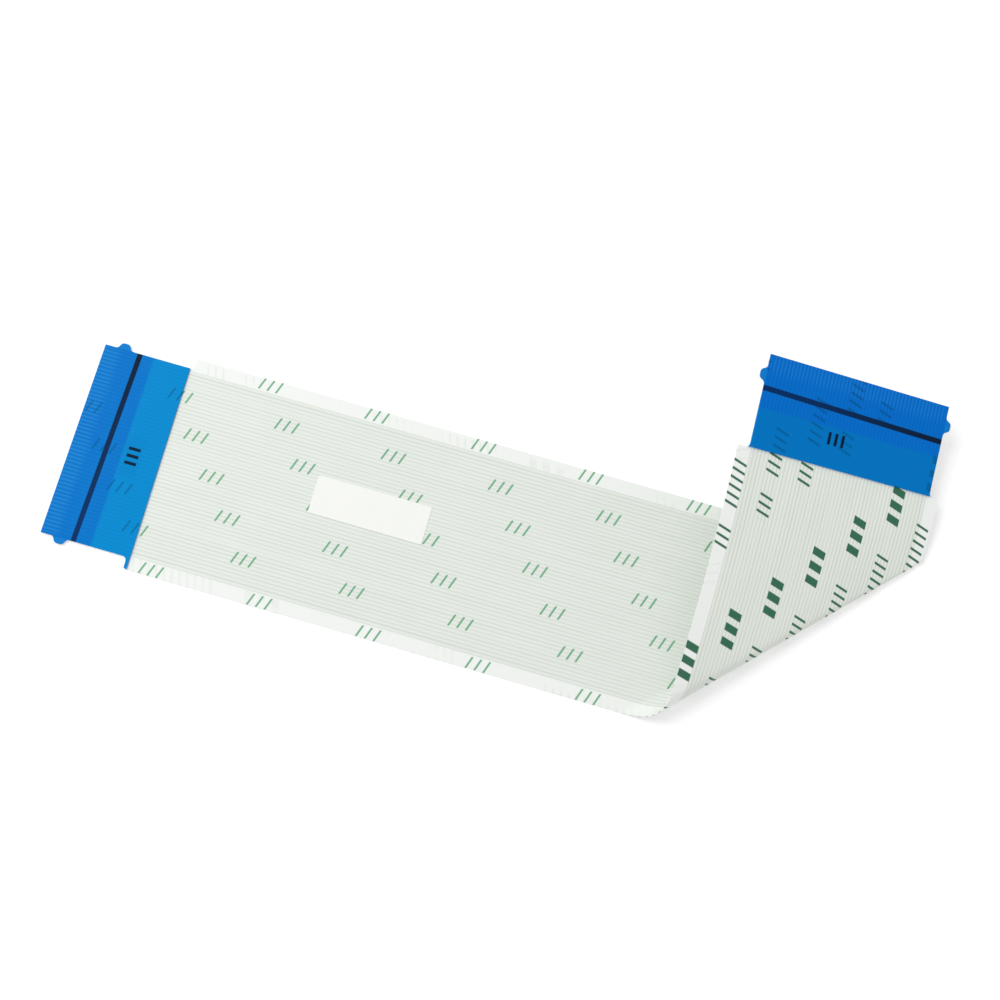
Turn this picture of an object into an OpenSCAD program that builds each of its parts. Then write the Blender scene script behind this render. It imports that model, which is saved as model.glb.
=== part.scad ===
// Flat flex cable with two reinforced contact ends, laid flat with one soft diagonal fold.
// One leg lies on the table; past the fold the other leg springs up above it.
// Flat positions are u along the cable from end A, v across it and w through the laminate,
// with w = 0 on the plane where the two films meet.

/* [Cable] */

// Flat length of the cable, end to end
cable_length = 128; // [80:0.5:200]
// Width over both plain margins
cable_width = 28.5; // [20:0.1:40]
// Thickness of each insulating film with its adhesive
film_thickness = 0.065; // [0.04:0.005:0.12]

/* [Conductors] */

// Number of flat conductors
conductor_count = 50; // [20:1:50]
// Distance between neighbouring conductors
conductor_pitch = 0.5; // [0.3:0.05:1]
// Width of one conductor
conductor_width = 0.3; // [0.15:0.05:0.7]
// Thickness of one conductor
conductor_thickness = 0.035; // [0.02:0.005:0.05]
// Spare width of the film's pocket on each side of the conductors
pocket_margin = 0.1; // [0.05:0.05:0.3]

/* [Contact ends] */

// Width of the die-cut contact ends
end_width = 25.5; // [15:0.1:35]
// Length of bare conductor at each end
bare_length = 6.3; // [3:0.1:10]
// Length of each stiffener on the cable's centreline
stiffener_length = 11.6; // [8:0.1:20]
// Thickness of a contact end: one film and its stiffener
contact_thickness = 0.3; // [0.2:0.01:0.4]
// Slant of stiffener A's inner edge, each way from the centreline
stiffener_slant = 0.2; // [0:0.05:0.5]
// Distance from end A to the shoulder on the side the fold turns towards
shoulder_a_left = 11.9; // [10:0.1:16]
// Distance from end A to the shoulder on the other side
shoulder_a_right = 11.4; // [10:0.1:16]
// Distance from end B to both of its shoulders
shoulder_b = 11.7; // [10:0.1:16]

/* [Locating ears] */

// Distance from the cable's end to an ear
ear_start = 1.65; // [1:0.05:4]
// Length of an ear where it leaves the side
ear_base = 1.8; // [1:0.05:3]
// Length of each sloping flank of an ear
ear_flank = 0.4; // [0.1:0.05:0.8]
// Distance that an ear stands out from the side
ear_reach = 0.8; // [0.3:0.05:1.2]

/* [Diagonal fold] */

// Distance from end A to the start of the fold, on the centreline
fold_start = 91.5; // [60:0.5:120]
// Angle between the fold's first line and the cable's length
fold_angle = 42.4; // [35:0.1:60]
// Length of cable taken by the fold along its loose edge
fold_run_loose = 9.3; // [4:0.1:14]
// Length of cable taken by the fold along its tight edge
fold_run_tight = 1.4; // [1:0.1:8]
// Angle the cable turns through in the fold
fold_bend = 154; // [90:1:170]
// Further angle it turns through between the fold and end B
relax_bend = 10; // [0:1:20]

/* [Label] */

// Length of the blank label along the cable
label_length = 15; // [5:0.5:40]
// Width of the label
label_width = 5; // [2:0.5:15]
// Thickness of the label
label_thickness = 0.08; // [0.04:0.01:0.2]
// Distance from end A to the label's centre
label_position = 39; // [20:0.5:70]
// Distance of the label's centre from the centreline
label_offset = 1.55; // [-8:0.05:8]

/* [Hidden] */

half_width = cable_width / 2;
half_end = end_width / 2;
half_pocket = ((conductor_count - 1) * conductor_pitch + conductor_width) / 2 + pocket_margin;
stiffener_thickness = contact_thickness - film_thickness;
// Straight lead past a shoulder, kept flat with the contact end
shoulder_lead = 1;
flat_end = max(shoulder_a_left, shoulder_a_right, shoulder_b) + shoulder_lead;
// Corner softening, as the distance from a corner to where its curve starts
ear_soft = 0.3;
shoulder_soft = 0.6;
shoulder_tip_soft = 0.3;
label_soft = 0.25;
soft_steps = 3;
// Flat facets around the fold, and between the fold and end B
fold_steps = 10;
relax_steps = 4;

// ---- Creases. Each is [position on the centreline, run along u per unit of v, bend angle].

fold_slope = 1 / tan(fold_angle);
fold_slope_end = fold_slope + (fold_run_tight - fold_run_loose) / cable_width;
fold_run = (fold_run_loose + fold_run_tight) / 2;
fold_end = fold_start + fold_run;
relax_run = cable_length - flat_end - fold_end;

function fold_crease(t) =
    [fold_start + fold_run * t, fold_slope + (fold_slope_end - fold_slope) * t, fold_bend / fold_steps];
function relax_crease(t) =
    [fold_end + relax_run * t, fold_slope_end * (1 - t), relax_bend / relax_steps];
function mid_step(i, steps) = (i + 0.5) / steps;

creases = concat(
    [for (i = [0 : fold_steps - 1]) fold_crease(mid_step(i, fold_steps))],
    [for (i = [0 : relax_steps - 1]) relax_crease(mid_step(i, relax_steps))]
);
crease_count = len(creases);

// ---- Frames. Each flat facet has [origin, direction of u, direction of v, direction of w].

function turned(d, r, a) = d * cos(a) + cross(r, d) * sin(a) + r * (r * d) * (1 - cos(a));
function bent(f, c) =
    let (r = (f[1] * c[1] + f[2]) / norm([c[1], 1]), p = f[0] + f[1] * c[0])
    [
        p + turned(f[0] - p, r, -c[2]),
        turned(f[1], r, -c[2]),
        turned(f[2], r, -c[2]),
        turned(f[3], r, -c[2])
    ];
function chain(f, i = 0) =
    i == crease_count ? [f] : concat([f], chain(bent(f, creases[i]), i + 1));
loose_frames = chain([[0, 0, film_thickness], [1, 0, 0], [0, 1, 0], [0, 0, 1]]);

function on_facet(f, p, w) = f[0] + f[1] * p[0] + f[2] * p[1] + f[3] * w;
function mitre(a, b) = (a[3] + b[3]) / (1 + a[3] * b[3]);
function crease_u(i, v) = creases[i][0] + creases[i][1] * v;
function on_crease(fs, i, v, w) =
    on_facet(fs[i], [crease_u(i, v), v], 0) + mitre(fs[i], fs[i + 1]) * w;

// ---- The whole cable is moved so that its box stands centred on the origin.

function low(points, axis) = min([for (p = points) p[axis]]);
function high(points, axis) = max([for (p = points) p[axis]]);
reach = concat(
    [for (v = [-half_width, half_width]) on_facet(loose_frames[0], [0, v], -film_thickness)],
    [for (i = [0 : crease_count - 1]) for (v = [-half_width, half_width])
        for (w = [-film_thickness, film_thickness]) on_crease(loose_frames, i, v, w)],
    [for (v = [-half_end, half_end]) for (w = [-contact_thickness, 0])
        on_facet(loose_frames[crease_count], [cable_length, v], w)],
    [for (w = [-contact_thickness, 0])
        on_facet(loose_frames[crease_count], [cable_length - flat_end, half_width], w)]
);
centring = -[low(reach, 0) + high(reach, 0), low(reach, 1) + high(reach, 1), 0] / 2;
frames = [for (f = loose_frames) [f[0] + centring, f[1], f[2], f[3]]];
frame_b = frames[crease_count];

// ---- Die-cut edges, as flat outlines with softened corners.

function toward(p, q, d) = p + (q - p) * min(d / norm(q - p), 0.5);
function curve(a, p, b) =
    [for (i = [0 : soft_steps]) let (t = i / soft_steps)
        a * pow(1 - t, 2) + p * 2 * t * (1 - t) + b * pow(t, 2)];
// Each inner corner of an open line is replaced by a short curve, of the size given for it
function softened(points, sizes) = concat(
    [points[0]],
    [for (i = [1 : len(points) - 2])
        for (q = curve(
            toward(points[i], points[i - 1], sizes[i - 1]),
            points[i],
            toward(points[i], points[i + 1], sizes[i - 1])
        )) q],
    [points[len(points) - 1]]
);

// Long edge of a contact end, from the cable's end to its full width
function end_edge(shoulder) = softened(
    [
        [0, half_end],
        [ear_start, half_end],
        [ear_start + ear_flank, half_end + ear_reach],
        [ear_start + ear_base - ear_flank, half_end + ear_reach],
        [ear_start + ear_base, half_end],
        [shoulder, half_end],
        [shoulder, half_width],
        [flat_end, half_width]
    ],
    [ear_soft, ear_soft, ear_soft, ear_soft, shoulder_soft, shoulder_tip_soft]
);
// The same edge where the end's film is stripped back, so that it has no ears
function bare_edge(shoulder) = softened(
    [[bare_length, half_end], [shoulder, half_end], [shoulder, half_width], [flat_end, half_width]],
    [shoulder_soft, shoulder_tip_soft]
);
function mirrored(points) = [for (p = points) [p[0], -p[1]]];
function from_end_b(points) =
    [for (i = [len(points) - 1 : -1 : 0]) [cable_length - points[i][0], points[i][1]]];

// ---- Bent layers. A station is a row of points across the layer, at an end or on a crease.

// Points of one long edge of a film: end A's outline, the creases, then end B's outline
function film_edge(a, v, b, w) = concat(
    [for (p = a) on_facet(frames[0], p, w)],
    [for (i = [0 : crease_count - 1]) on_crease(frames, i, v, w)],
    [for (p = b) on_facet(frame_b, p, w)]
);
// Points at one v from one end to the other, with one point on each crease
function long_line(u0, v, u1, w) = concat(
    [on_facet(frames[0], [u0, v], w)],
    [for (i = [0 : crease_count - 1]) on_crease(frames, i, v, w)],
    [on_facet(frame_b, [u1, v], w)]
);
function run(a, b) = a <= b ? [for (i = [a : b]) i] : [for (i = [a : -1 : b]) i];
function shifted(list, by) = [for (i = list) i + by];
function backwards(list) = [for (i = [len(list) - 1 : -1 : 0]) list[i]];
// Two triangles for each step between two lines of points that run side by side
function ribbon(low_line, high_line) =
    [for (i = [0 : len(low_line) - 2]) for (t = [
        [low_line[i], high_line[i], high_line[i + 1]],
        [low_line[i], high_line[i + 1], low_line[i + 1]]
    ]) t];

// A film's edge points are counted as: end A's outline, the creases, end B's outline.
// The indices of the points of facet k on an edge that has a points before its first crease
function facet_run(k, a, total) =
    k == 0 ? run(0, a) : k == crease_count ? run(a + crease_count - 1, total - 1) : run(a + k - 1, a + k);

// One film: full width between the ends, with the outlines given for its four end edges.
// Its pocket, when it has one, is open at both ends and keeps its full width.
module film(a_left, a_right, b_left, b_right, w_out, w_in, pocket) {
    left_count = len(a_left) + crease_count + len(b_left);
    right_count = len(a_right) + crease_count + len(b_right);
    outer_right = left_count;
    inner_left = outer_right + right_count;
    inner_right = inner_left + left_count;
    pocket_at = inner_right + right_count;
    lines = crease_count + 2;
    u0 = a_left[0][0];
    u1 = b_left[len(b_left) - 1][0];
    points = concat(
        film_edge(a_left, half_width, b_left, w_out),
        film_edge(a_right, -half_width, b_right, w_out),
        film_edge(a_left, half_width, b_left, w_in),
        film_edge(a_right, -half_width, b_right, w_in),
        pocket == 0 ? [] : concat(
            long_line(u0, half_pocket, u1, w_in),
            long_line(u0, half_pocket, u1, w_in + pocket),
            long_line(u0, -half_pocket, u1, w_in + pocket),
            long_line(u0, -half_pocket, u1, w_in)
        )
    );
    function left(k) = facet_run(k, len(a_left), left_count);
    function right(k) = facet_run(k, len(a_right), right_count);
    function pocket_line(n) = shifted(run(0, lines - 1), pocket_at + n * lines);
    function pocket_step(n, k) = [pocket_at + n * lines + k, pocket_at + n * lines + k + 1];
    outer = [for (k = [0 : crease_count])
        concat(left(k), backwards(shifted(right(k), outer_right)))];
    plain_inner = [for (k = [0 : crease_count])
        concat(backwards(shifted(left(k), inner_left)), shifted(right(k), inner_right))];
    pocket_inner = [for (k = [0 : crease_count]) for (face = [
        concat(backwards(shifted(left(k), inner_left)), pocket_step(0, k)),
        concat(backwards(pocket_step(1, k)), pocket_step(2, k)),
        concat(backwards(pocket_step(3, k)), shifted(right(k), inner_right))
    ]) face];
    left_side = ribbon(run(0, left_count - 1), shifted(run(0, left_count - 1), inner_left));
    right_side = ribbon(
        shifted(run(0, right_count - 1), inner_right),
        shifted(run(0, right_count - 1), outer_right)
    );
    pocket_walls = concat(
        ribbon(pocket_line(0), pocket_line(1)),
        ribbon(pocket_line(2), pocket_line(3))
    );
    plain_ends = [
        [0, outer_right, inner_right, inner_left],
        [left_count - 1, inner_left + left_count - 1,
            inner_right + right_count - 1, outer_right + right_count - 1]
    ];
    pocket_ends = [
        [0, outer_right, inner_right, pocket_line(3)[0], pocket_line(2)[0],
            pocket_line(1)[0], pocket_line(0)[0], inner_left],
        [left_count - 1, inner_left + left_count - 1, pocket_line(0)[lines - 1],
            pocket_line(1)[lines - 1], pocket_line(2)[lines - 1], pocket_line(3)[lines - 1],
            inner_right + right_count - 1, outer_right + right_count - 1]
    ];
    faces = pocket == 0
        ? concat(outer, plain_inner, left_side, right_side, plain_ends)
        : concat(outer, pocket_inner, left_side, right_side, pocket_walls, pocket_ends);
    polyhedron(points, w_out > w_in ? faces : [for (f = faces) backwards(f)]);
}

module upper_film() {
    color("honeydew")
        film(
            end_edge(shoulder_a_left),
            mirrored(end_edge(shoulder_a_right)),
            from_end_b(bare_edge(shoulder_b)),
            from_end_b(mirrored(bare_edge(shoulder_b))),
            film_thickness,
            0,
            conductor_thickness
        );
}

module lower_film() {
    color("azure")
        film(
            bare_edge(shoulder_a_left),
            mirrored(bare_edge(shoulder_a_right)),
            from_end_b(end_edge(shoulder_b)),
            from_end_b(mirrored(end_edge(shoulder_b))),
            -film_thickness,
            0,
            0
        );
}

// One conductor: a thin bar in the upper film's pocket, that follows every crease
module conductor(n) {
    middle = (n - (conductor_count + 1) / 2) * conductor_pitch;
    near = middle - conductor_width / 2;
    far = middle + conductor_width / 2;
    count = crease_count + 2;
    points = concat(
        long_line(0, near, cable_length, 0),
        long_line(0, far, cable_length, 0),
        long_line(0, far, cable_length, conductor_thickness),
        long_line(0, near, cable_length, conductor_thickness)
    );
    function line(side) = shifted(run(0, count - 1), side * count);
    color("silver")
        polyhedron(
            points,
            concat(
                ribbon(line(1), line(0)),
                ribbon(line(2), line(1)),
                ribbon(line(3), line(2)),
                ribbon(line(0), line(3)),
                [
                    [for (side = [0 : 3]) side * count],
                    [for (side = [3 : -1 : 0]) (side + 1) * count - 1]
                ]
            )
        );
}

// Flat shape of a stiffener: the die-cut end, up to the stiffener's inner edge
module stiffener_shape(left_edge, right_edge, slant) {
    intersection() {
        polygon(concat(left_edge, backwards(mirrored(right_edge))));
        polygon([
            [0, -cable_width],
            [stiffener_length + slant * cable_width / half_end, -cable_width],
            [stiffener_length - slant * cable_width / half_end, cable_width],
            [0, cable_width]
        ]);
    }
}

module stiffener_a() {
    color("deepskyblue")
        translate(frames[0][0] + [0, 0, film_thickness])
            linear_extrude(height = stiffener_thickness)
                stiffener_shape(end_edge(shoulder_a_left), end_edge(shoulder_a_right), stiffener_slant);
}

// Moves what is drawn flat at end A, mirrored end for end, onto end B's facet
module at_end_b() {
    f = frame_b;
    o = on_facet(f, [cable_length, 0], 0);
    multmatrix([
        [-f[1][0], f[2][0], -f[3][0], o[0]],
        [-f[1][1], f[2][1], -f[3][1], o[1]],
        [-f[1][2], f[2][2], -f[3][2], o[2]],
        [0, 0, 0, 1]
    ])
        children();
}

module stiffener_b() {
    color("dodgerblue")
        at_end_b()
            translate([0, 0, film_thickness])
                linear_extrude(height = stiffener_thickness)
                    stiffener_shape(end_edge(shoulder_b), end_edge(shoulder_b), 0);
}

module label() {
    half = [label_length, label_width] / 2;
    loop = [[0, half[1]], half, [half[0], -half[1]], -half, [-half[0], half[1]], [0, half[1]]];
    outline = softened(loop, [label_soft, label_soft, label_soft, label_soft]);
    color("white")
        translate(on_facet(frames[0], [label_position, label_offset], film_thickness))
            linear_extrude(height = label_thickness)
                polygon([for (i = [0 : len(outline) - 2]) outline[i]]);
}

function conductor_name(n) = str("conductor_", n < 10 ? "0" : "", n);

upper_film();
lower_film();
stiffener_a();
stiffener_b();
label();
for (n = [1 : conductor_count])
    conductor(n);
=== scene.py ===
# %% [markdown]
# # A flat flex cable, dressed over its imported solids
# The cable is two thin milky films with fifty flat conductors between them. Each end is cut
# narrower, carries a blue stiffener and has two small locating ears. One leg lies flat, and past
# a soft diagonal fold the other leg springs up.

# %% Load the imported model
import math

import bpy
import numpy as np
from mathutils import Matrix, Vector


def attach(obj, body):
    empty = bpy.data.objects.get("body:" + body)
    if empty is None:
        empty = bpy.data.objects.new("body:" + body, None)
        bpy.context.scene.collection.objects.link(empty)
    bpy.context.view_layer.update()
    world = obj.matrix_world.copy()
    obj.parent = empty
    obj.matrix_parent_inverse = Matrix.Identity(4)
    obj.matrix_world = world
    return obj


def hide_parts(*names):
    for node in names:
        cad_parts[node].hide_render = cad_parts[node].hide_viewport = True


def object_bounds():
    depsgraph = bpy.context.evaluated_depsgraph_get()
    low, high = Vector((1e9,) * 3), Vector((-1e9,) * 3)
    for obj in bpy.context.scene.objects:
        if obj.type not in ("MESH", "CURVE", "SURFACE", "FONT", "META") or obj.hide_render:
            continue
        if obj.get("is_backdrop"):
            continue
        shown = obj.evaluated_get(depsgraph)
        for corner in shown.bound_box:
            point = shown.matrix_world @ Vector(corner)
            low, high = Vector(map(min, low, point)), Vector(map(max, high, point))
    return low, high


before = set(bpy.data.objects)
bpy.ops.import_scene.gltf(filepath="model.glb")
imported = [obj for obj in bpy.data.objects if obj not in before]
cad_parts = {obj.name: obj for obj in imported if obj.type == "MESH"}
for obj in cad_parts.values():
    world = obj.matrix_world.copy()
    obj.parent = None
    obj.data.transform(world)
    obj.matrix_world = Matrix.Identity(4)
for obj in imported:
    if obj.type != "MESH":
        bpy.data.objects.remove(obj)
cad_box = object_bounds()
bpy.ops.object.select_all(action="DESELECT")
print("nodes:", len(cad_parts), "box:", cad_box)

# %% [markdown]
# ## The camera
# The cable is seen from almost straight above, with a slight turn, by a lens of about 50 mm held
# close. The camera is placed by the angle it looks from and its distance to a point on the table.

# %% Place the camera
CAMERA_AZIMUTH = math.radians(11.24)
CAMERA_ELEVATION = math.radians(80.10)
CAMERA_ROLL = math.radians(4.88)
CAMERA_DISTANCE = 0.18303
CAMERA_LENS = 51.72
CAMERA_TARGET = Vector((0.00052, -0.00246, 0.0))

back = Vector((
    math.sin(CAMERA_AZIMUTH) * math.cos(CAMERA_ELEVATION),
    -math.cos(CAMERA_AZIMUTH) * math.cos(CAMERA_ELEVATION),
    math.sin(CAMERA_ELEVATION),
))
level = Vector((math.cos(CAMERA_AZIMUTH), math.sin(CAMERA_AZIMUTH), 0))
right = level * math.cos(CAMERA_ROLL) + back.cross(level) * math.sin(CAMERA_ROLL)
turn = Matrix((right, back.cross(right), back)).transposed()
bpy.ops.object.camera_add(
    location=CAMERA_TARGET + back * CAMERA_DISTANCE, rotation=turn.to_euler()
)
camera = bpy.context.object
camera.data.lens = CAMERA_LENS
camera.data.clip_start = 0.001
bpy.context.scene.camera = camera
print("camera at", tuple(round(c, 4) for c in camera.location))

# %% [markdown]
# ## The cable's own coordinates
# Everything on a flat cable is drawn flat first: u runs along it from end A, v across it and w
# through it, with w = 0 where the films meet. Folding only rolls that drawing up along straight
# lines. So one function that places a flat point in space serves every sheet, and the flat
# position of each point becomes its UV, which lets print and conductor lines follow the bend.

# %% Name the cable's sizes, in millimetres
LENGTH = 128.0
HALF_WIDTH = 14.25
HALF_END = 12.75
FILM = 0.065
CONDUCTORS = 50
PITCH = 0.5
CONDUCTOR_WIDTH = 0.3
CONDUCTOR_THICKNESS = 0.035
HALF_POCKET = 12.5
BARE = 6.3
STIFFENER_LENGTH = 11.6
STIFFENER_SLANT = 0.2
CONTACT_THICKNESS = 0.3
SHOULDER_A_LEFT = 11.9
SHOULDER_A_RIGHT = 11.4
SHOULDER_B = 11.7
FLAT_END = 12.9
EAR_START, EAR_BASE, EAR_FLANK, EAR_REACH = 1.65, 1.8, 0.4, 0.8
EAR_SOFT, SHOULDER_SOFT, TIP_SOFT = 0.3, 0.6, 0.3
FOLD_START, FOLD_ANGLE, FOLD_BEND, RELAX_BEND = 91.5, 42.4, 154.0, 10.0
FOLD_LOOSE, FOLD_TIGHT = 9.3, 1.4
FOLD_STEPS, RELAX_STEPS = 10, 4
END_A = (-53.9721, -9.85428, 0.065)
MM = 0.001

# %% [markdown]
# ## Rolling the flat cable up
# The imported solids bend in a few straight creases. Each crease has a place on the centreline, a
# run along u for each unit of v, and an angle. The facets between them are found one after
# another, and then each crease is rounded into a short curve that meets the facets on both sides,
# so that the dressed sheets follow the solids without their corners. A crease need not lie halfway
# along its curve, so each point is placed on the curve by its length from the start, which keeps
# the print from stretching.

# %% Find the facets and place flat points on them
fold_slope = 1 / math.tan(math.radians(FOLD_ANGLE))
fold_slope_end = fold_slope + (FOLD_TIGHT - FOLD_LOOSE) / (2 * HALF_WIDTH)
fold_run = (FOLD_LOOSE + FOLD_TIGHT) / 2
relax_run = LENGTH - FLAT_END - FOLD_START - fold_run

creases = []
for i in range(FOLD_STEPS):
    t = (i + 0.5) / FOLD_STEPS
    slope = fold_slope + (fold_slope_end - fold_slope) * t
    creases.append((FOLD_START + fold_run * t, slope, math.radians(FOLD_BEND / FOLD_STEPS)))
for i in range(RELAX_STEPS):
    t = (i + 0.5) / RELAX_STEPS
    place = FOLD_START + fold_run + relax_run * t
    creases.append((place, fold_slope_end * (1 - t), math.radians(RELAX_BEND / RELAX_STEPS)))

facets = [(Vector(END_A), Vector((1, 0, 0)), Vector((0, 1, 0)), Vector((0, 0, 1)))]
for place, slope, bend in creases:
    origin, along, across, out = facets[-1]
    roll = Matrix.Rotation(-bend, 3, along * slope + across)
    pivot = origin + along * place
    facets.append((pivot + roll @ (origin - pivot), roll @ along, roll @ across, roll @ out))

PLACES = np.array([c[0] for c in creases])
SLOPES = np.array([c[1] for c in creases])
ORIGIN, ALONG, ACROSS, OUT = (np.array([f[n] for f in facets]) for n in range(4))
MITRE = OUT[:-1] + OUT[1:]
MITRE /= 1 + (OUT[:-1] * OUT[1:]).sum(axis=1, keepdims=True)


def between(values):
    """Midway values, with one more at each end that carries the first and last steps on."""
    steps = np.diff(values) / 2
    return np.concatenate([[values[0] - steps[0]], values[:-1] + steps, [values[-1] + steps[-1]]])


KNOT_PLACES, KNOT_SLOPES = between(PLACES), between(SLOPES)


def on_facet(n, u, v, w):
    """Points of facet n, given flat."""
    return ORIGIN[n] + ALONG[n] * u[:, None] + ACROSS[n] * v[:, None] + OUT[n] * w[:, None]


def roll_up(flat):
    """Where points of the flat cable come to lie, in metres."""
    u, v, w = np.asarray(flat, float).T
    knots = KNOT_PLACES + KNOT_SLOPES * v[:, None]
    passed = (u[:, None] > knots).sum(axis=1)
    placed = on_facet(np.where(passed == 0, 0, len(creases)), u, v, w)
    bent = np.flatnonzero((passed > 0) & (passed <= len(creases)))
    n, u, v, w = passed[bent] - 1, u[bent], v[bent], w[bent]
    before, after = knots[bent, n], knots[bent, n + 1]
    line = PLACES[n] + SLOPES[n] * v
    share, split = (u - before) / (after - before), (line - before) / (after - before)
    t = (share / (split + np.sqrt(split**2 + (1 - 2 * split) * share)))[:, None]
    corner = on_facet(n, line, v, np.zeros(len(v))) + MITRE[n] * w[:, None]
    start, end = on_facet(n, before, v, w), on_facet(n + 1, after, v, w)
    placed[bent] = start * (1 - t) ** 2 + corner * 2 * t * (1 - t) + end * t**2
    return placed * MM


print("facets:", len(facets), "end B at", roll_up([(LENGTH, 0, 0)])[0].round(5))

# %% [markdown]
# ## The die-cut edges
# A steel-rule die cuts each end narrower, with an ear on both sides and a softened shoulder. The
# edge is drawn as an open line of (u, half width) points, whose corners become short curves, just
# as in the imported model. It is then read as the half width at any u.

# %% Draw the edges of the ends
def softened(points, sizes, steps=3):
    """An open line with each inner corner replaced by a short curve of the given size."""
    line = [points[0]]
    for before, corner, after, size in zip(points, points[1:], points[2:], sizes):
        before, corner, after = np.array(before), np.array(corner), np.array(after)
        ends = [
            corner + (other - corner) * min(size / np.linalg.norm(other - corner), 0.5)
            for other in (before, after)
        ]
        for t in np.linspace(0, 1, steps + 1):
            line.append(ends[0] * (1 - t) ** 2 + corner * 2 * t * (1 - t) + ends[1] * t**2)
    line.append(points[-1])
    return np.array(line, float)


def end_edge(shoulder):
    """Long edge of a contact end, with its ear."""
    top = HALF_END + EAR_REACH
    return softened(
        [
            (0, HALF_END),
            (EAR_START, HALF_END),
            (EAR_START + EAR_FLANK, top),
            (EAR_START + EAR_BASE - EAR_FLANK, top),
            (EAR_START + EAR_BASE, HALF_END),
            (shoulder, HALF_END),
            (shoulder, HALF_WIDTH),
            (FLAT_END, HALF_WIDTH),
        ],
        [EAR_SOFT] * 4 + [SHOULDER_SOFT, TIP_SOFT],
    )


def bare_edge(shoulder):
    """The same edge on the film that is stripped back to bare the conductors."""
    return softened(
        [(BARE, HALF_END), (shoulder, HALF_END), (shoulder, HALF_WIDTH), (FLAT_END, HALF_WIDTH)],
        [SHOULDER_SOFT, TIP_SOFT],
    )


def at_end_b(edge):
    """An edge drawn from end A, carried to end B."""
    return np.column_stack([LENGTH - edge[::-1, 0], edge[::-1, 1]])


def readable(edge, least=0.004):
    """The edge with its upright stretches leaned a little, so each u has one half width."""
    places = edge[:, 0].copy()
    for i in range(1, len(places)):
        places[i] = max(places[i], places[i - 1] + least)
    return places, edge[:, 1]


print("ears reach", end_edge(SHOULDER_A_LEFT)[:, 1].max(), "mm from the middle")


print("edge points:", len(end_edge(SHOULDER_B)), len(bare_edge(SHOULDER_B)))

# %% [markdown]
# ## A sheet
# Every layer is made the same way. Rows cross the sheet from edge to edge, columns run along it,
# and each row goes round the layer: over its outer face and back along its inner one. A grid is
# the natural start, because its rows and columns are already there. Its points are laid out flat,
# rolled up, and welded where the row closes, and the two ends are filled.
# The outer face rises a little over each conductor, which is what gives a flex cable its fine
# ribs, and sinks by the same small amount at the plain margins.

# %% Lay out the columns
RIB = 0.012
MARGIN_STEPS = (0.25, 0.6, 1.0)
first = -(CONDUCTORS - 1) / 2 * PITCH
ribs = [(first - PITCH / 2, RIB)]
for n in range(CONDUCTORS):
    middle = first + n * PITCH
    ribs += [(middle - CONDUCTOR_WIDTH / 2, 0), (middle, 0), (middle + CONDUCTOR_WIDTH / 2, 0)]
    ribs += [(middle + PITCH / 2, RIB)]
RIB_PLACES = np.array([r[0] for r in ribs])
RIB_SINK = np.array([r[1] for r in ribs])


def cross_row(place, slope, half_left, half_right, outer, inner, rib=1.0, pocket=0.0):
    """Flat points round one row: outer face from right to left, then the inner face back."""
    right = -HALF_POCKET + (HALF_POCKET - half_right) * np.array(MARGIN_STEPS[::-1])
    left = HALF_POCKET + (half_left - HALF_POCKET) * np.array(MARGIN_STEPS)
    v = np.concatenate([right, RIB_PLACES, left])
    sink = np.concatenate([[RIB] * 3, RIB_SINK, [RIB] * 3]) * rib
    sign = 1 if outer > inner else -1
    w_outer = outer - sign * sink
    w_inner = np.full(len(v), float(inner))
    w_inner[3:-3] += sign * pocket
    u = place + slope * v
    face = np.column_stack([u, v, w_outer])
    return np.concatenate([face, np.column_stack([u, v, w_inner])[::-1], face[:1]])


COLUMNS = len(RIB_PLACES) + 2 * len(MARGIN_STEPS)
print("columns:", COLUMNS)


# %% Build a sheet from its rows
UV_NAME = "flat"
WELD = 1e-7
SMOOTH_BELOW = math.radians(40)


def build_sheet(name, rows):
    """A closed sheet from rows of flat points.

    Its faces use slot 0 on the outside, 1 on the inside and 2 at the cut edges.
    """
    around = len(rows[0])
    bpy.ops.mesh.primitive_grid_add(
        x_subdivisions=around - 1, y_subdivisions=len(rows) - 1, size=2
    )
    sheet = bpy.context.object
    sheet.name = sheet.data.name = name
    mesh = sheet.data
    flat = np.concatenate(rows)
    mesh.vertices.foreach_set("co", roll_up(flat).ravel())
    corners = np.empty(len(mesh.loops), int)
    mesh.loops.foreach_get("vertex_index", corners)
    layer = mesh.uv_layers[0]
    layer.name = UV_NAME
    uv = np.column_stack([flat[corners, 0] / LENGTH, flat[corners, 1] / LENGTH + 0.5])
    layer.uv.foreach_set("vector", uv.ravel())
    step = np.arange(around - 1)
    slots = np.where(step < COLUMNS - 1, 0, 1)
    slots[[COLUMNS - 1, around - 2]] = 2
    mesh.polygons.foreach_set("material_index", np.tile(slots, len(rows) - 1))
    bpy.ops.object.mode_set(mode="EDIT")
    bpy.ops.mesh.select_all(action="SELECT")
    bpy.ops.mesh.remove_doubles(threshold=WELD)
    bpy.ops.mesh.select_all(action="SELECT")
    bpy.ops.mesh.fill_holes(sides=0)
    bpy.ops.mesh.select_all(action="SELECT")
    bpy.ops.mesh.normals_make_consistent(inside=False)
    bpy.ops.object.mode_set(mode="OBJECT")
    bpy.ops.object.shade_smooth_by_angle(angle=SMOOTH_BELOW)
    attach(sheet, "root")
    print(name, len(mesh.vertices), "points,", len(mesh.loop_triangles), "triangles")
    return sheet


# %% [markdown]
# ## The two films
# Each film is a strip of milky polyester with a heat-set adhesive. The upper one reaches the very
# end at A and is stripped back at B, the lower one the other way round, so that the contacts face
# opposite sides. The rows are close together at the cut ends and in the fold, and few where the
# cable is flat.

# %% Rows of a film
LEG_ROWS, CREASE_ROWS = 6, 4
CLOSEST_ROWS = 0.003


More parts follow.
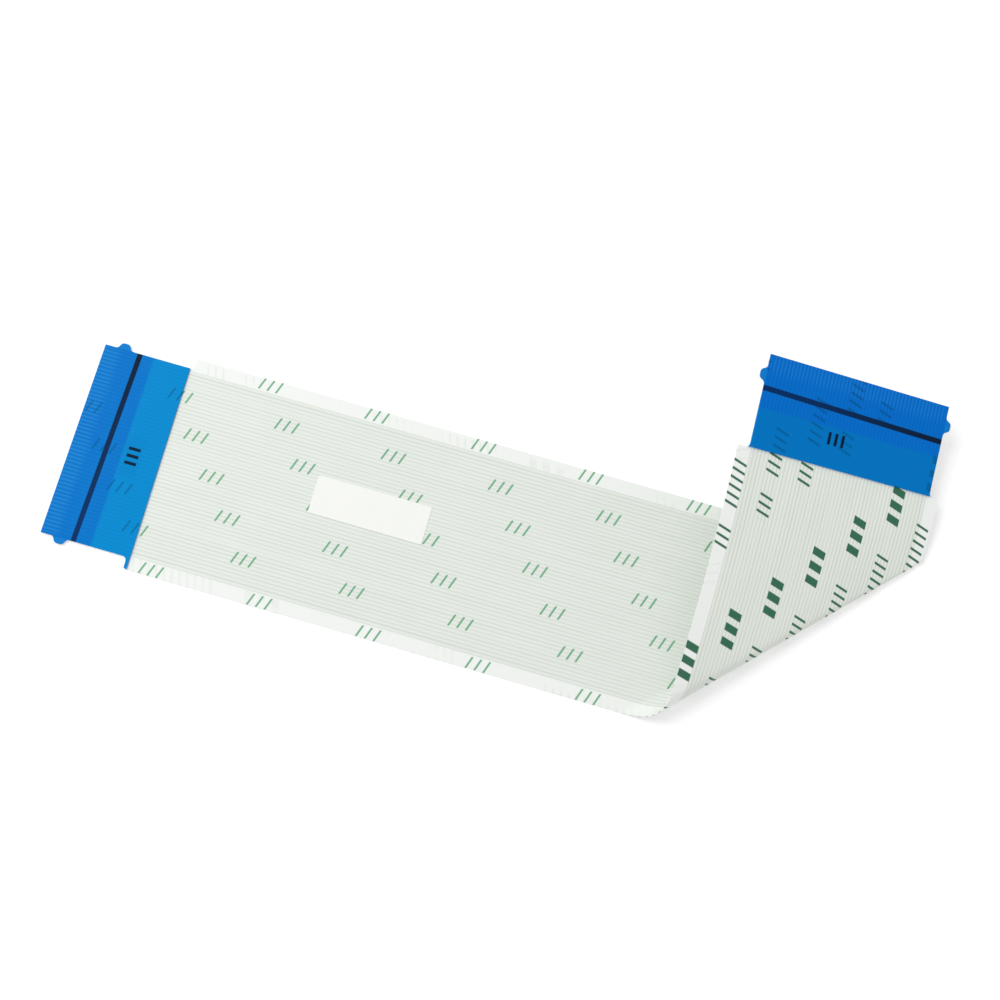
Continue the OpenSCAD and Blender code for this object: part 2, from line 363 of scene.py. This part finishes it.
def film_rows(a_left, a_right, b_left, b_right, outer, pocket):
    """Rows of a film, given its four end edges."""
    lines = []
    for left, right in ((a_left, a_right), (b_left, b_right)):
        (left_u, left_half), (right_u, right_half) = readable(left), readable(right)
        for place in np.unique(np.concatenate([left_u, right_u])):
            lines.append((
                place,
                0,
                np.interp(place, left_u, left_half),
                np.interp(place, right_u, right_half),
            ))
    knots = list(zip(KNOT_PLACES, KNOT_SLOPES))
    bends = [((FLAT_END, 0), knots[0], LEG_ROWS)]
    bends += [(a, b, CREASE_ROWS) for a, b in zip(knots, knots[1:])]
    for start, end, steps in bends:
        for i in range(1, steps + 1):
            place, slope = np.array(start) + (np.array(end) - np.array(start)) * i / steps
            lines.append((place, slope, HALF_WIDTH, HALF_WIDTH))
    lines.sort(key=lambda line: line[0])
    kept = lines[:1] + [b for a, b in zip(lines, lines[1:]) if b[0] - a[0] > CLOSEST_ROWS]
    return [cross_row(*line, outer, 0, pocket=pocket) for line in kept]


upper_film = build_sheet("upper_film_sheet", film_rows(
    end_edge(SHOULDER_A_LEFT), end_edge(SHOULDER_A_RIGHT),
    at_end_b(bare_edge(SHOULDER_B)), at_end_b(bare_edge(SHOULDER_B)),
    FILM, CONDUCTOR_THICKNESS,
))
lower_film = build_sheet("lower_film_sheet", film_rows(
    bare_edge(SHOULDER_A_LEFT), bare_edge(SHOULDER_A_RIGHT),
    at_end_b(end_edge(SHOULDER_B)), at_end_b(end_edge(SHOULDER_B)),
    -FILM, 0,
))
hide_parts("upper_film")
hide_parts("lower_film")

# %% [markdown]
# ## The stiffeners
# A thicker blue polyester tape backs the contacts at each end, on the side away from them. It is
# cut by the same die as the films, so it has the same ears. At end A its inner edge runs slightly
# askew and a narrow tail of it is left past the shoulder on one side.

# %% Rows of a stiffener
STIFFENER_RIB = 0.8
PLAIN_ROWS = [5.0, 7.0, 9.0]
CLEAR_OF_EAR, CLEAR_OF_EDGE = 0.4, 0.01


def stiffener_rows(left_edge, right_edge, slant, base, outer, flip):
    """Rows of a stiffener drawn from its own end, or carried to end B."""
    (left_u, left_half), (right_u, right_half) = readable(left_edge), readable(right_edge)
    slope = -slant / HALF_END
    ear_end = EAR_START + EAR_BASE + EAR_SOFT
    square = np.unique(np.concatenate([left_u, right_u]))
    lines = [(u, 0) for u in square if u <= ear_end]
    past = sorted([u - slant for u in right_u] + [u + slant for u in left_u] + PLAIN_ROWS)
    low, high = ear_end + CLEAR_OF_EAR, STIFFENER_LENGTH - CLEAR_OF_EDGE
    lines += [(u, slope) for u in past if low < u < high]
    lines.append((STIFFENER_LENGTH, slope))
    rows = []
    for place, lean in lines:
        halves = (
            np.interp(place + lean * HALF_END, left_u, left_half),
            np.interp(place - lean * HALF_END, right_u, right_half),
        )
        if flip:
            place, lean = LENGTH - place, -lean
        rows.append(cross_row(place, lean, *halves, outer, base, rib=STIFFENER_RIB))
    return rows


stiffener_a = build_sheet("stiffener_a_sheet", stiffener_rows(
    end_edge(SHOULDER_A_LEFT), end_edge(SHOULDER_A_RIGHT), STIFFENER_SLANT,
    FILM, CONTACT_THICKNESS, flip=False,
))
stiffener_b = build_sheet("stiffener_b_sheet", stiffener_rows(
    end_edge(SHOULDER_B), end_edge(SHOULDER_B), 0,
    -FILM, -CONTACT_THICKNESS, flip=True,
))
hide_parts("stiffener_a")
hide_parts("stiffener_b")

# %% [markdown]
# ## Drawing on a sheet
# The films and tapes are printed, ribbed and layered, and all of it lies in flat millimetres. The
# materials are drawn by small sums on the flat coordinates: a band is a stretch between two
# places, stripes are bands at a pitch, and marks are stripes kept inside a band each way.

# %% Tools for drawing in flat millimetres
def linear(red, green, blue):
    """A screen colour, 0 to 255, as the shader needs it."""
    def channel(c):
        c /= 255
        return c / 12.92 if c <= 0.04045 else ((c + 0.055) / 1.055) ** 2.4
    return (channel(red), channel(green), channel(blue), 1)


class Drawing:
    """A material whose colours are drawn in the cable's flat millimetres."""

    def __init__(self, name, roughness, gloss):
        self.material = bpy.data.materials.new(name)
        self.material.use_nodes = True
        self.tree = self.material.node_tree
        self.shader = self.tree.nodes["Principled BSDF"]
        self.shader.inputs["Roughness"].default_value = roughness
        self.shader.inputs["Specular IOR Level"].default_value = gloss
        uv = self.tree.nodes.new("ShaderNodeUVMap")
        uv.uv_map = UV_NAME
        split = self.tree.nodes.new("ShaderNodeSeparateXYZ")
        self.tree.links.new(uv.outputs[0], split.inputs[0])
        self.u = self.sum("MULTIPLY", split.outputs[0], LENGTH)
        self.v = self.sum("MULTIPLY_ADD", split.outputs[1], LENGTH, -LENGTH / 2)

    def put(self, socket, value):
        if isinstance(value, bpy.types.NodeSocket):
            self.tree.links.new(value, socket)
        else:
            socket.default_value = value

    def sum(self, kind, *values, clamp=False):
        node = self.tree.nodes.new("ShaderNodeMath")
        node.operation = kind
        node.use_clamp = clamp
        for socket, value in zip(node.inputs, values):
            self.put(socket, value)
        return node.outputs[0]

    def within(self, x, half, soft=0.06):
        """1 where x is nearer to 0 than half."""
        near = self.sum("ABSOLUTE", x)
        return self.sum("MULTIPLY_ADD", near, -1 / soft, half / soft + 0.5, clamp=True)

    def band(self, x, low, high, soft=0.06):
        """1 from low to high."""
        return self.within(self.sum("SUBTRACT", x, (low + high) / 2), (high - low) / 2, soft)

    def stripes(self, x, pitch, width, soft=0.06):
        """1 on stripes of a width, centred on every multiple of the pitch."""
        return self.within(self.sum("PINGPONG", x, pitch / 2), width / 2, soft)

    def both(self, *masks):
        result = masks[0]
        for mask in masks[1:]:
            result = self.sum("MULTIPLY", result, mask)
        return result

    def either(self, *masks):
        result = masks[0]
        for mask in masks[1:]:
            result = self.sum("MAXIMUM", result, mask)
        return result

    def ease(self, x, low, high):
        """0 at low, 1 at high."""
        return self.sum("MULTIPLY_ADD", x, 1 / (high - low), -low / (high - low), clamp=True)

    def grain(self, along, across, detail=2.0, seed=0.0):
        """Noise from 0 to 1, with a size along and across the cable."""
        place = self.tree.nodes.new("ShaderNodeCombineXYZ")
        self.put(place.inputs[0], self.sum("DIVIDE", self.u, along))
        self.put(place.inputs[1], self.sum("DIVIDE", self.v, across))
        self.put(place.inputs[2], seed)
        noise = self.tree.nodes.new("ShaderNodeTexNoise")
        self.put(noise.inputs["Vector"], place.outputs[0])
        self.put(noise.inputs["Scale"], 1.0)
        self.put(noise.inputs["Detail"], detail)
        return noise.outputs["Fac"]

    def tint(self, colour, other, mask, strength=1.0):
        """A colour changed to another where the mask is 1."""
        mix = self.tree.nodes.new("ShaderNodeMix")
        mix.data_type = "RGBA"
        amount = mask if strength == 1.0 else self.sum("MULTIPLY", mask, strength)
        self.put(mix.inputs["Factor"], amount)
        self.put(mix.inputs["A"], colour)
        self.put(mix.inputs["B"], other)
        return mix.outputs["Result"]

    def finish(self, colour, height=None, depth=0.00002):
        self.put(self.shader.inputs["Base Color"], colour)
        if height is not None:
            bump = self.tree.nodes.new("ShaderNodeBump")
            self.put(bump.inputs["Distance"], depth)
            self.put(bump.inputs["Height"], height)
            self.put(self.shader.inputs["Normal"], bump.outputs[0])
        return self.material


print("a screen grey of 128 is", round(linear(128, 128, 128)[0], 3), "to the shader")


# %% [markdown]
# ## The printed marks
# Both faces carry rows of small green marks, each row set further along than the last. The marks
# are plain: groups of slanted ticks on one face, and strings of fine ticks with groups of bold
# bars on the other. The same marks are drawn again, faintly, where they show through a tape.

# %% Draw the light ticks of the upper face
MARK_SOFT = 0.1
TICK_ROW, TICK_STEP, TICK_SHIFT = 4.5, 14.27, 3.55
TICK_PLACE, TICK_TOP_ROW = 22.04, 13.5
TICK_PITCH, TICK_WIDTH, TICK_LEAN = 1.15, 0.26, -0.35
HALF_TICK, HALF_TICK_GROUP = 0.78, 1.5


def tick_marks(d):
    """Three slanted ticks at each place of a slanted lattice."""
    row = d.sum("ROUND", d.sum("MULTIPLY_ADD", d.v, -1 / TICK_ROW, TICK_TOP_ROW / TICK_ROW))
    high = d.sum("SUBTRACT", d.sum("MULTIPLY_ADD", row, TICK_ROW, d.v), TICK_TOP_ROW)
    place = d.sum("MULTIPLY_ADD", row, -TICK_SHIFT, d.sum("SUBTRACT", d.u, TICK_PLACE))
    group = d.sum("ROUND", d.sum("DIVIDE", place, TICK_STEP))
    place = d.sum("SUBTRACT", place, d.sum("MULTIPLY", group, TICK_STEP))
    lean = d.sum("MULTIPLY_ADD", high, TICK_LEAN, place)
    return d.both(
        d.stripes(lean, TICK_PITCH, TICK_WIDTH, MARK_SOFT),
        d.within(high, HALF_TICK), d.within(lean, HALF_TICK_GROUP),
    )


print("tick rows every", TICK_ROW, "mm, ticks in groups", TICK_STEP, "mm apart")

# %% Draw the dark bars of the lower face
BAR_ROW, BAR_SHIFT, BAR_BOTTOM_ROW = 4.4, 4.95, -13.4
BAR_LEAN, HALF_BAR = 0.3, 0.9
REPEAT_START, REPEAT_END = 59.0, 119.0
FINE_STRINGS = ((103.2, 106.9), (108.5, 114.7), (66.0, 83.4))
FINE_PITCH, FINE_WIDTH = 1.02, 0.32
BOLD_STRING = (86.9, 92.3)
BOLD_PITCH, BOLD_WIDTH, BOLD_START = 1.78, 0.98, 0.35


def bar_marks(d):
    """Strings of fine ticks with bold bars between them."""
    row = d.sum("ROUND", d.sum("MULTIPLY_ADD", d.v, 1 / BAR_ROW, -BAR_BOTTOM_ROW / BAR_ROW))
    high = d.sum("SUBTRACT", d.sum("MULTIPLY_ADD", row, -BAR_ROW, d.v), BAR_BOTTOM_ROW)
    place = d.sum("WRAP", d.sum("MULTIPLY_ADD", row, -BAR_SHIFT, d.u), REPEAT_END, REPEAT_START)
    lean = d.sum("MULTIPLY_ADD", high, BAR_LEAN, place)
    fine = d.both(
        d.either(*(d.band(lean, *string) for string in FINE_STRINGS)),
        d.stripes(lean, FINE_PITCH, FINE_WIDTH, MARK_SOFT),
    )
    bold = d.both(
        d.band(lean, *BOLD_STRING),
        d.stripes(d.sum("SUBTRACT", lean, BOLD_START), BOLD_PITCH, BOLD_WIDTH, MARK_SOFT),
    )
    return d.both(d.either(fine, bold), d.within(high, HALF_BAR))


print("bar rows every", BAR_ROW, "mm, each", BAR_SHIFT, "mm further along")

# %% [markdown]
# ## The film's material
# The film is milky white with a green cast where the conductors lie under it, and clearer at the
# plain margins. Each gap between conductors shows as a thin grey-green line, a little stronger
# next to the margins. A soft mottle and a fine grain keep it from looking like paint.

# %% Describe a film face
GRAIN_DEPTH = 0.000002
GAP_WIDTH, GAP_SOFT = 0.17, 0.16
RIM_START = 11.6
POCKET_SOFT, RIM_SOFT = 0.12, 0.5
GAP_STRENGTH, RIM_STRENGTH, MOTTLE_STRENGTH = 0.85, 0.5, 0.25
GHOST_STRENGTH, INK_STRENGTH = 0.22, 0.97


def film_material(name, pale, body, line, ink, marks, ghosts):
    """The face of a film: pale margins, a body with a line in each gap, and its print."""
    d = Drawing(name, roughness=0.38, gloss=0.2)
    over = d.within(d.v, HALF_POCKET, POCKET_SOFT)
    clear = d.sum("SUBTRACT", 1.0, over)
    streak = d.sum("MULTIPLY_ADD", d.grain(60, 0.9, seed=3.0), 1.3, 0.1, clamp=True)
    gap = d.both(d.stripes(d.v, PITCH, GAP_WIDTH, GAP_SOFT), over, streak)
    rim = d.either(*(
        d.band(d.v, *sorted((side * RIM_START, side * HALF_POCKET)), RIM_SOFT)
        for side in (1, -1)
    ))
    mottle = d.ease(d.grain(9, 5), 0.45, 0.75)
    worn = d.ease(d.grain(6, 3, seed=8.0), 0.4, 0.6)
    colour = d.tint(pale, body, over)
    colour = d.tint(colour, pale, d.both(over, mottle), MOTTLE_STRENGTH)
    colour = d.tint(colour, line, gap, GAP_STRENGTH)
    colour = d.tint(colour, line, d.both(gap, rim), RIM_STRENGTH)
    colour = d.tint(colour, line, d.both(ghosts(d), clear, worn), GHOST_STRENGTH)
    colour = d.tint(colour, ink, marks(d), INK_STRENGTH)
    return d.finish(colour, d.grain(0.08, 0.08, detail=3), depth=GRAIN_DEPTH)


# %% Make the film materials
upper_face = film_material(
    "film_upper_face", linear(244, 247, 243), linear(233, 237, 231), linear(206, 218, 206),
    linear(108, 172, 130), tick_marks, bar_marks,
)
# The lower face's pale and body colours are written a little lighter than the upper face's:
# painted light that makes up for the lamp light the raised leg misses, as it leans away from the
# lamp.
lower_face = film_material(
    "film_lower_face", linear(251, 253, 250), linear(238, 243, 235), linear(206, 216, 204),
    linear(22, 100, 68), bar_marks, tick_marks,
)

d = Drawing("film_inside", roughness=0.5, gloss=0.2)
inside = d.finish(
    d.tint(linear(226, 234, 238), linear(205, 216, 224), d.grain(2.0, 0.5)),
    d.grain(0.1, 0.1), depth=GRAIN_DEPTH,
)
d = Drawing("film_cut_edge", roughness=0.5, gloss=0.2)
cut_edge = d.finish(d.tint(linear(240, 243, 240), linear(222, 229, 222), d.grain(1.5, 0.3)))
for film, face in ((upper_film, upper_face), (lower_film, lower_face)):
    film.data.materials.clear()
    for material in (face, inside, cut_edge):
        film.data.materials.append(material)
print("film materials on", upper_film.name, lower_film.name)

# %% [markdown]
# ## The stiffener's material
# The tape is a clear deep blue. It looks darker over the bare contacts, where only tin lies
# behind it, lighter over the film and lightest at the ears. The conductors read through it as
# fine lines, sharpest at the very end, and the printed marks read through it as faint shadows. A
# dark line across it shows how far the end goes into its socket, and a small black sign of three
# bars stands behind that line.

# %% Describe a stiffener face
SHADE_END, SHADE_START = 6.75, 6.45
COMB_END, COMB_START = 2.6, 1.6
RIDGE_WIDTH, RIDGE_SOFT = 0.2, 0.2
LINE_HALF, LINE_SOFT = 0.34, 0.1
EAR_SPREAD = 0.1
HALF_PATCH_ACROSS, HALF_PATCH_ALONG = 2.6, 1.1
SIGN_PITCH, SIGN_WIDTH = 0.95, 0.42
HALF_SIGN_ACROSS, HALF_SIGN_ALONG = 1.15, 0.78
RIDGE_LIGHT, RIDGE_DARK = linear(30, 140, 220), linear(0, 95, 175)
COMB_LIGHT, EAR = linear(60, 160, 226), linear(24, 134, 212)
GHOST, PATCH, SIGN = linear(0, 70, 95), linear(0, 120, 190), linear(6, 18, 30)
LINE_LIGHT, LINE_DARK = linear(8, 46, 96), linear(14, 26, 40)


def stiffener_material(
    name, light, dark, line_near, line_far, sign_place, sign_row, ghosts, from_end, comb_strength
):
    """The face of a stiffener: two blues, ridges, insertion line and a small black sign."""
    d = Drawing(name, roughness=0.36, gloss=0.03)
    depth = d.u if not from_end else d.sum("SUBTRACT", LENGTH, d.u)
    bare = d.ease(depth, SHADE_END, SHADE_START)
    covered = d.sum("SUBTRACT", 1.0, bare)
    comb = d.ease(depth, COMB_END, COMB_START)
    ribs = d.both(d.stripes(d.v, PITCH, RIDGE_WIDTH, RIDGE_SOFT), d.within(d.v, HALF_POCKET))
    colour = d.tint(light, dark, bare)
    colour = d.tint(colour, light, d.ease(d.grain(3, 8), 0.4, 0.8), 0.2)
    colour = d.tint(colour, RIDGE_LIGHT, d.both(ribs, bare), 0.2)
    colour = d.tint(colour, COMB_LIGHT, d.both(ribs, comb), comb_strength)
    colour = d.tint(colour, RIDGE_DARK, d.both(ribs, covered), 0.14)
    colour = d.tint(colour, GHOST, ghosts(d), 0.42)
    ear = d.ease(d.sum("ABSOLUTE", d.v), HALF_END - EAR_SPREAD, HALF_END + EAR_SPREAD)
    colour = d.tint(colour, EAR, ear, 0.7)

    askew = (line_near - line_far) / (2 * HALF_END)
    skew = d.sum("MULTIPLY_ADD", d.v, askew, depth)
    middle = (line_near + line_far) / 2
    stripe = d.band(skew, middle - LINE_HALF, middle + LINE_HALF, LINE_SOFT)
    stripe_colour = d.tint(LINE_LIGHT, LINE_DARK, d.ease(d.v, -10, 12))
    colour = d.tint(colour, stripe_colour, stripe, 0.97)

    across, along = d.sum("SUBTRACT", d.v, sign_row), d.sum("SUBTRACT", d.u, sign_place)
    patch = d.both(
        d.within(across, HALF_PATCH_ACROSS, 0.3), d.within(along, HALF_PATCH_ALONG, 0.2)
    )
    sign = d.both(
        d.stripes(across, SIGN_PITCH, SIGN_WIDTH, 0.08),
        d.within(across, HALF_SIGN_ACROSS), d.within(along, HALF_SIGN_ALONG),
    )
    colour = d.tint(colour, PATCH, patch, 0.2)
    colour = d.tint(colour, SIGN, sign, 0.95)
    return d.finish(colour, d.grain(0.1, 0.1, detail=3), depth=GRAIN_DEPTH)


# %% Make the stiffener materials
blue_a = stiffener_material(
    "stiffener_a_face", linear(2, 141, 211), linear(2, 115, 202), 4.3, 4.7,
    8.0, -0.3, tick_marks, from_end=False, comb_strength=0.36,
)
# End B's tape is written darker than end A's, most of all over the film, though it is the same
# tape: painted shade for the raised leg, which leans away from the lamp.
blue_b = stiffener_material(
    "stiffener_b_face", linear(3, 122, 202), linear(2, 108, 206), 4.2, 4.6,
    120.0, -1.7, bar_marks, from_end=True, comb_strength=0.2,
)
d = Drawing("stiffener_cut_edge", roughness=0.4, gloss=0.1)
blue_edge = d.finish(d.tint(linear(70, 165, 226), linear(40, 140, 214), d.grain(1.5, 0.3)))
for stiffener, face in ((stiffener_a, blue_a), (stiffener_b, blue_b)):
    stiffener.data.materials.clear()
    for material in (face, blue_edge, blue_edge):
        stiffener.data.materials.append(material)
print("stiffener materials on", stiffener_a.name, stiffener_b.name)

# %% [markdown]
# ## Label and conductors
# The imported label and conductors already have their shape, so they stay and only get a finish: a
# matt white paper film, and bright tin with a fine drawn grain.

# %% Finish the label and the conductors
SOLID_GRAIN_DEPTH = 0.000003


def solid_material(name, one, other, size, roughness, metallic=0.0):
    """Two close tones with a fine grain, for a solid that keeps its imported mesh."""
    material = bpy.data.materials.new(name)
    material.use_nodes = True
    nodes, links = material.node_tree.nodes, material.node_tree.links
    shader = nodes["Principled BSDF"]
    shader.inputs["Roughness"].default_value = roughness
    shader.inputs["Metallic"].default_value = metallic
    place = nodes.new("ShaderNodeTexCoord")
    noise = nodes.new("ShaderNodeTexNoise")
    noise.inputs["Scale"].default_value = 1 / size
    noise.inputs["Detail"].default_value = 3
    mix = nodes.new("ShaderNodeMix")
    mix.data_type = "RGBA"
    mix.inputs["A"].default_value = one
    mix.inputs["B"].default_value = other
    bump = nodes.new("ShaderNodeBump")
    bump.inputs["Distance"].default_value = SOLID_GRAIN_DEPTH
    links.new(place.outputs["Object"], noise.inputs["Vector"])
    links.new(noise.outputs["Fac"], mix.inputs["Factor"])
    links.new(noise.outputs["Fac"], bump.inputs["Height"])
    links.new(mix.outputs["Result"], shader.inputs["Base Color"])
    links.new(bump.outputs[0], shader.inputs["Normal"])
    return material


label_white = solid_material(
    "label_white", linear(249, 250, 246), linear(244, 246, 241), 0.002, roughness=0.6
)
tin = solid_material(
    "tinned_conductor", linear(222, 220, 214), linear(190, 188, 182), 0.0003, 0.28, metallic=1.0
)
for name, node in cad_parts.items():
    finish = label_white if name == "label" else tin if name.startswith("conductor") else None
    if finish:
        node.data.materials.clear()
        node.data.materials.append(finish)
print("finished label and", CONDUCTORS, "conductors")

# %% [markdown]
# ## Floor and light
# A wide white floor, an even white surround and one broad lamp from the upper left. The level is
# set so that a colour renders as it is written, and the lamp is only strong enough to set the
# raised leg off from the flat one. What the camera sees of the floor and the surround, straight or
# in gloss, is lifted to white, and the cable's soft shadow stays on the floor.

# %% Tell what the camera sees from what lights the cable
def seen_by_camera(nodes, links):
    """1 for what the camera sees, straight, in gloss or through glass."""
    path = nodes.new("ShaderNodeLightPath")
    result = path.outputs["Is Camera Ray"]
    for ray in ("Is Glossy Ray", "Is Transmission Ray"):
        most = nodes.new("ShaderNodeMath")
        most.operation = "MAXIMUM"
        links.new(result, most.inputs[0])
        links.new(path.outputs[ray], most.inputs[1])
        result = most.outputs[0]
    return result


# %% Lay the floor
FLOOR_SIZE = 4
FLOOR_GAP = 0.00003
FLOOR_GLOW = 0.3
FLOOR_WHITE = 0.85

bpy.ops.mesh.primitive_plane_add(size=FLOOR_SIZE, location=(0, 0, -FLOOR_GAP))
floor = bpy.context.object
floor.name = "floor"
floor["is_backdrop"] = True
paper = bpy.data.materials.new("floor_white")
paper.use_nodes = True
nodes, links = paper.node_tree.nodes, paper.node_tree.links
nodes.clear()
output = nodes.new("ShaderNodeOutputMaterial")
diffuse = nodes.new("ShaderNodeBsdfDiffuse")
diffuse.inputs["Color"].default_value = (FLOOR_WHITE, FLOOR_WHITE, FLOOR_WHITE, 1)
glow = nodes.new("ShaderNodeEmission")
strength = nodes.new("ShaderNodeMath")
strength.operation = "MULTIPLY"
strength.inputs[1].default_value = FLOOR_GLOW
both = nodes.new("ShaderNodeAddShader")
links.new(seen_by_camera(nodes, links), strength.inputs[0])
links.new(strength.outputs[0], glow.inputs["Strength"])
links.new(diffuse.outputs[0], both.inputs[0])
links.new(glow.outputs[0], both.inputs[1])
links.new(both.outputs[0], output.inputs["Surface"])
floor.data.materials.append(paper)
print("floor", FLOOR_SIZE, "m wide,", FLOOR_GAP * 1000, "mm under the cable")

# %% Light it
SURROUND = 0.66
LAMP_PLACE = (-0.30, 0.12, 0.45)
LAMP_SIZE, LAMP_POWER = 0.30, 1.27

world = bpy.data.worlds.new("surround")
bpy.context.scene.world = world
world.use_nodes = True
nodes, links = world.node_tree.nodes, world.node_tree.links
level_of_light = nodes.new("ShaderNodeMapRange")
level_of_light.inputs["To Min"].default_value = SURROUND
level_of_light.inputs["To Max"].default_value = 1.0
background = nodes["Background"]
background.inputs["Color"].default_value = (1, 1, 1, 1)
links.new(seen_by_camera(nodes, links), level_of_light.inputs["Value"])
links.new(level_of_light.outputs[0], background.inputs["Strength"])

bpy.ops.object.light_add(type="AREA", location=LAMP_PLACE)
lamp = bpy.context.object
lamp.name = "broad_lamp"
lamp.data.size = LAMP_SIZE
lamp.data.energy = LAMP_POWER
lamp.rotation_euler = Vector(LAMP_PLACE).to_track_quat("Z", "Y").to_euler()
bpy.context.scene.view_settings.view_transform = "Standard"
print("surround", SURROUND, "and one lamp of", LAMP_POWER, "W")

# %% Write both boxes and finish
dressed_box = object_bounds()
for name, box in (("packed", cad_box), ("dressed", dressed_box)):
    print(name, [round(size * 1000, 3) for size in box[1] - box[0]], "mm")
